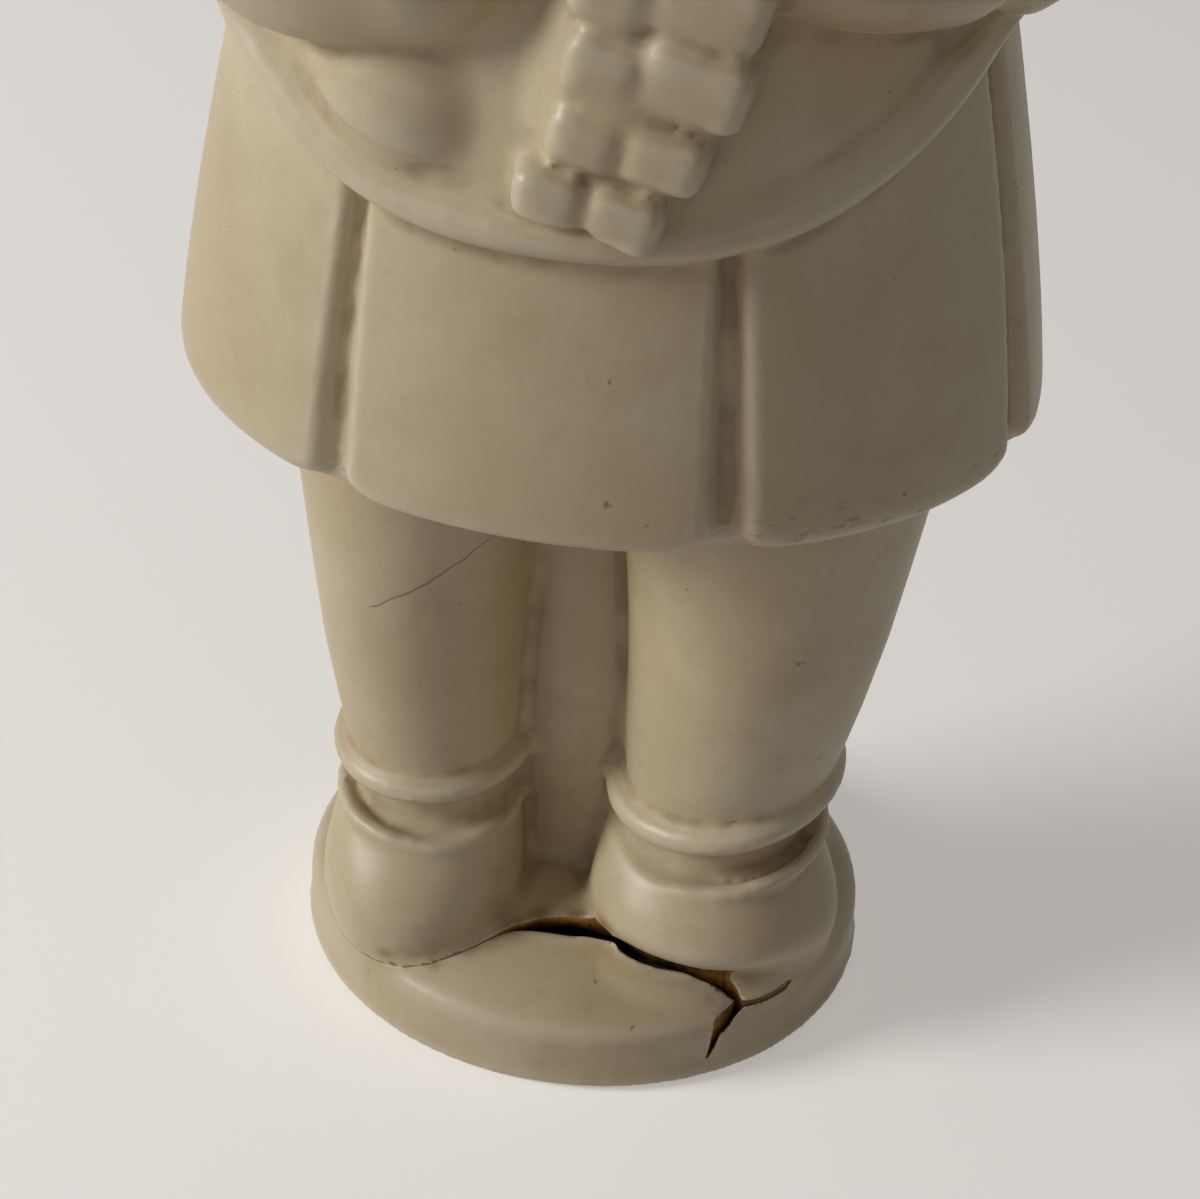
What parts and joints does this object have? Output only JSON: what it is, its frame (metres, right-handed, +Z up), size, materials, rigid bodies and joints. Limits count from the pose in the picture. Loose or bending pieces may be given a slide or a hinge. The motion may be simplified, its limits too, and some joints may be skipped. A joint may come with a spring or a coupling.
{
  "type": "souvenir figurine",
  "caption": "Hollow moulded figurine of a standing child in jacket, pleated skirt and round shoes on an oval plinth, with a head that turns.",
  "frame": {"origin": "middle of the plinth's underside, on the closing plate", "axes": "+Z up through the plinth and the neck, -Y the way the child faces, +X towards the child's left hand"},
  "size_m": [0.0941, 0.0768, 0.2426],
  "materials": {
    "ivory_moulding": "aged ivory moulded plastic, soft sheen",
    "plate_moulding": "aged ivory moulded plastic, dull",
    "plug_moulding": "amber aged moulded plastic"
  },
  "bodies": {
    "figure": {"base_shell": "ivory_moulding", "base_plate": "plate_moulding", "body_front_shell": "ivory_moulding", "body_back_shell": "ivory_moulding"},
    "head": {"neck_plug": "plug_moulding", "head_front_shell": "ivory_moulding", "head_back_shell": "ivory_moulding"}
  },
  "joints": [
    {"name": "head_turn", "type": "hinge", "parent": "figure", "child": "head", "pos_m": [0, 0, 0.176], "axis": [0, 0, 1], "continuous": true}
  ]
}
